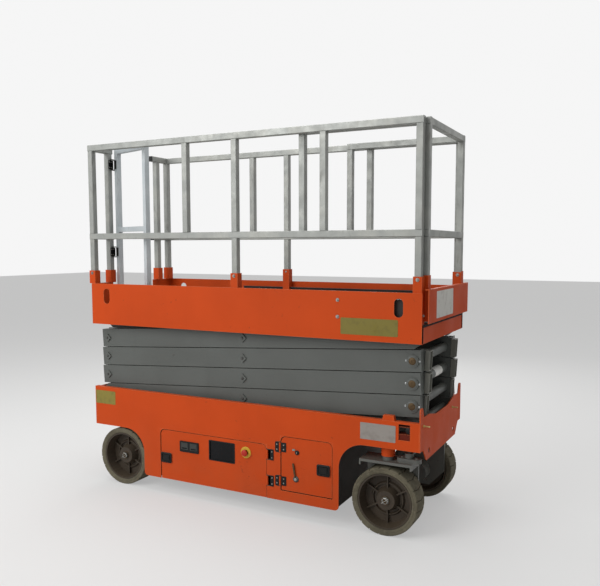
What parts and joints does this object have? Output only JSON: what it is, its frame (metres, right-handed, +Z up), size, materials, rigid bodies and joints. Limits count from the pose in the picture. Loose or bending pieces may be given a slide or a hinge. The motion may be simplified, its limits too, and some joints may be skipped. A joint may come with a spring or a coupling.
{
  "type": "scissor lift",
  "caption": "Electric slab scissor lift, stowed: stacked beam arms, guard-railed platform with roll-out deck and rear gate, bay doors, steered front wheels.",
  "frame": {"origin": "on the ground under the middle of the stowed machine", "axes": "+X towards the steered wheels and the roll-out deck, -Y the side with the controls, +Z up"},
  "size_m": [2.3233, 0.851, 2.245],
  "materials": {
    "orange_paint": "satin orange paint, scuffed",
    "dark_paint": "matt black paint, dusty",
    "arm_grey": "grey enamel",
    "galvanised": "hot-dip galvanised, mottled",
    "chrome_rod": "hard chrome",
    "battery_plastic": "moulded case",
    "tyre_rubber": "solid rubber, worn and dusty",
    "wheel_disc": "dark brown paint"
  },
  "bodies": {
    "chassis": {"side_plates": "orange_paint", "chassis_end_plates": "orange_paint", "chassis_deck": "orange_paint", "bay_walls": "dark_paint", "chassis_tracks": "orange_paint", "arm_pivot_brackets": "dark_paint", "front_axle_beam": "orange_paint", "rear_axle": "dark_paint", "battery_block": "battery_plastic", "hydraulic_block": "battery_plastic", "door_hinge_pins": "dark_paint"},
    "door_rear_right": {"door_rear_right": "orange_paint", "control_fittings": "dark_paint"},
    "door_front_right": {"door_front_right": "orange_paint", "service_fittings": "dark_paint"},
    "door_rear_left": {"door_rear_left": "orange_paint"},
    "door_front_left": {"door_front_left": "orange_paint"},
    "wheel_rear_right": {"tyre_rear_right": "tyre_rubber", "hub_rear_right": "wheel_disc"},
    "wheel_rear_left": {"tyre_rear_left": "tyre_rubber", "hub_rear_left": "wheel_disc"},
    "wheel_front_right": {"tyre_front_right": "tyre_rubber", "hub_front_right": "wheel_disc"},
    "wheel_front_left": {"tyre_front_left": "tyre_rubber", "hub_front_left": "wheel_disc"},
    "knuckle_right": {"knuckle_right": "arm_grey"},
    "knuckle_left": {"knuckle_left": "arm_grey"},
    "tie_rod": {"tie_rod": "dark_paint"},
    "barrel": {"lift_barrel": "dark_paint"},
    "rod": {"lift_rod": "chrome_rod"},
    "platform": {"skirts": "orange_paint", "platform_floor": "galvanised", "platform_end_panels": "orange_paint", "platform_tracks": "dark_paint", "platform_pivot_brackets": "dark_paint", "guard_rails": "galvanised", "guard_rail_posts": "galvanised", "post_sockets": "orange_paint", "gate_hinge_lugs": "dark_paint"},
    "extension": {"extension_floor": "galvanised", "extension_toe_board": "orange_paint", "extension_rails": "galvanised", "extension_posts": "galvanised", "extension_sockets": "orange_paint"},
    "gate": {"gate_frame": "galvanised"},
    "outer_arm_1": {"outer_arm_1": "arm_grey"},
    "inner_arm_1": {"inner_arm_1": "arm_grey"},
    "outer_arm_2": {"outer_arm_2": "arm_grey"},
    "inner_arm_2": {"inner_arm_2": "arm_grey"},
    "outer_arm_3": {"outer_arm_3": "arm_grey"},
    "inner_arm_3": {"inner_arm_3": "arm_grey"},
    "outer_arm_4": {"outer_arm_4": "arm_grey"},
    "inner_arm_4": {"inner_arm_4": "arm_grey"}
  },
  "joints": [
    {"name": "lift", "type": "hinge", "parent": "chassis", "child": "outer_arm_1", "pos_m": [-1.07, 0, 0.6026], "axis": [0, -1, 0], "range_deg": [0, 54]},
    {"name": "inner_arm_1_pivot", "type": "hinge", "parent": "outer_arm_1", "child": "inner_arm_1", "pos_m": [-0.002, 0, 0.6642], "axis": [0, -1, 0], "range_deg": [-110, 0]},
    {"name": "outer_arm_2_pivot", "type": "hinge", "parent": "inner_arm_1", "child": "outer_arm_2", "pos_m": [-1.07, 0, 0.7258], "axis": [0, -1, 0], "range_deg": [0, 110]},
    {"name": "inner_arm_2_pivot", "type": "hinge", "parent": "outer_arm_2", "child": "inner_arm_2", "pos_m": [-0.002, 0, 0.7874], "axis": [0, -1, 0], "range_deg": [-110, 0]},
    {"name": "outer_arm_3_pivot", "type": "hinge", "parent": "inner_arm_2", "child": "outer_arm_3", "pos_m": [-1.07, 0, 0.849], "axis": [0, -1, 0], "range_deg": [0, 110]},
    {"name": "inner_arm_3_pivot", "type": "hinge", "parent": "outer_arm_3", "child": "inner_arm_3", "pos_m": [-0.002, 0, 0.9106], "axis": [0, -1, 0], "range_deg": [-110, 0]},
    {"name": "outer_arm_4_pivot", "type": "hinge", "parent": "inner_arm_3", "child": "outer_arm_4", "pos_m": [-1.07, 0, 0.9722], "axis": [0, -1, 0], "range_deg": [0, 110]},
    {"name": "inner_arm_4_pivot", "type": "hinge", "parent": "outer_arm_4", "child": "inner_arm_4", "pos_m": [-0.002, 0, 1.0338], "axis": [0, -1, 0], "range_deg": [-110, 0]},
    {"name": "platform_level", "type": "hinge", "parent": "inner_arm_4", "child": "platform", "pos_m": [-1.07, 0, 1.0954], "axis": [0, -1, 0], "range_deg": [0, 56]},
    {"name": "cylinder_foot", "type": "hinge", "parent": "inner_arm_1", "child": "barrel", "pos_m": [-0.92163, 0, 0.69721], "axis": [0, -1, 0], "range_deg": [0, 125]},
    {"name": "cylinder_stroke", "type": "slide", "parent": "barrel", "child": "rod", "axis": [0.9947, 0, 0.1029], "range_m": [0, 1.15]},
    {"name": "extension_slide", "type": "slide", "parent": "platform", "child": "extension", "axis": [1, 0, 0], "range_m": [0, 0.9]},
    {"name": "gate_hinge", "type": "hinge", "parent": "platform", "child": "gate", "pos_m": [-1.104, -0.198, 1.84], "axis": [0, 0, 1], "range_deg": [-5, 108]},
    {"name": "door_rear_right_hinge", "type": "hinge", "parent": "chassis", "child": "door_rear_right", "pos_m": [0.203, -0.414, 0.283], "axis": [0, 0, 1], "range_deg": [0, 85]},
    {"name": "door_front_right_hinge", "type": "hinge", "parent": "chassis", "child": "door_front_right", "pos_m": [0.289, -0.414, 0.315], "axis": [0, 0, -1], "range_deg": [0, 85]},
    {"name": "door_rear_left_hinge", "type": "hinge", "parent": "chassis", "child": "door_rear_left", "pos_m": [0.203, 0.414, 0.283], "axis": [0, 0, -1], "range_deg": [0, 85]},
    {"name": "door_front_left_hinge", "type": "hinge", "parent": "chassis", "child": "door_front_left", "pos_m": [0.289, 0.414, 0.315], "axis": [0, 0, 1], "range_deg": [0, 85]},
    {"name": "steer_right", "type": "hinge", "parent": "chassis", "child": "knuckle_right", "pos_m": [0.93, -0.3385, 0.42], "axis": [0, 0, 1], "range_deg": [-60, 60]},
    {"name": "steer_left", "type": "hinge", "parent": "chassis", "child": "knuckle_left", "pos_m": [0.93, 0.3385, 0.42], "axis": [0, 0, 1], "range_deg": [-60, 60]},
    {"name": "tie_rod_pivot", "type": "hinge", "parent": "knuckle_right", "child": "tie_rod", "pos_m": [1.05, -0.3385, 0.452], "axis": [0, 0, 1], "range_deg": [-60, 60]},
    {"name": "wheel_rear_right_spin", "type": "hinge", "parent": "chassis", "child": "wheel_rear_right", "pos_m": [-0.915, -0.3385, 0.1905], "axis": [0, 1, 0], "continuous": true},
    {"name": "wheel_front_right_spin", "type": "hinge", "parent": "knuckle_right", "child": "wheel_front_right", "pos_m": [0.93, -0.3385, 0.1905], "axis": [0, 1, 0], "continuous": true},
    {"name": "wheel_rear_left_spin", "type": "hinge", "parent": "chassis", "child": "wheel_rear_left", "pos_m": [-0.915, 0.3385, 0.1905], "axis": [0, 1, 0], "continuous": true},
    {"name": "wheel_front_left_spin", "type": "hinge", "parent": "knuckle_left", "child": "wheel_front_left", "pos_m": [0.93, 0.3385, 0.1905], "axis": [0, 1, 0], "continuous": true}
  ],
  "couplings": [
    {"joint": "inner_arm_1_pivot", "follows": "lift", "ratio": -2},
    {"joint": "outer_arm_2_pivot", "follows": "lift", "ratio": 2},
    {"joint": "inner_arm_2_pivot", "follows": "lift", "ratio": -2},
    {"joint": "outer_arm_3_pivot", "follows": "lift", "ratio": 2},
    {"joint": "inner_arm_3_pivot", "follows": "lift", "ratio": -2},
    {"joint": "outer_arm_4_pivot", "follows": "lift", "ratio": 2},
    {"joint": "inner_arm_4_pivot", "follows": "lift", "ratio": -2},
    {"joint": "platform_level", "follows": "lift", "ratio": 1},
    {"joint": "cylinder_foot", "follows": "lift", "ratio": 2.2298},
    {"joint": "cylinder_stroke", "follows": "lift", "m_per_rad": 1.1317},
    {"joint": "steer_left", "follows": "steer_right", "ratio": 1},
    {"joint": "tie_rod_pivot", "follows": "steer_right", "ratio": -1}
  ]
}
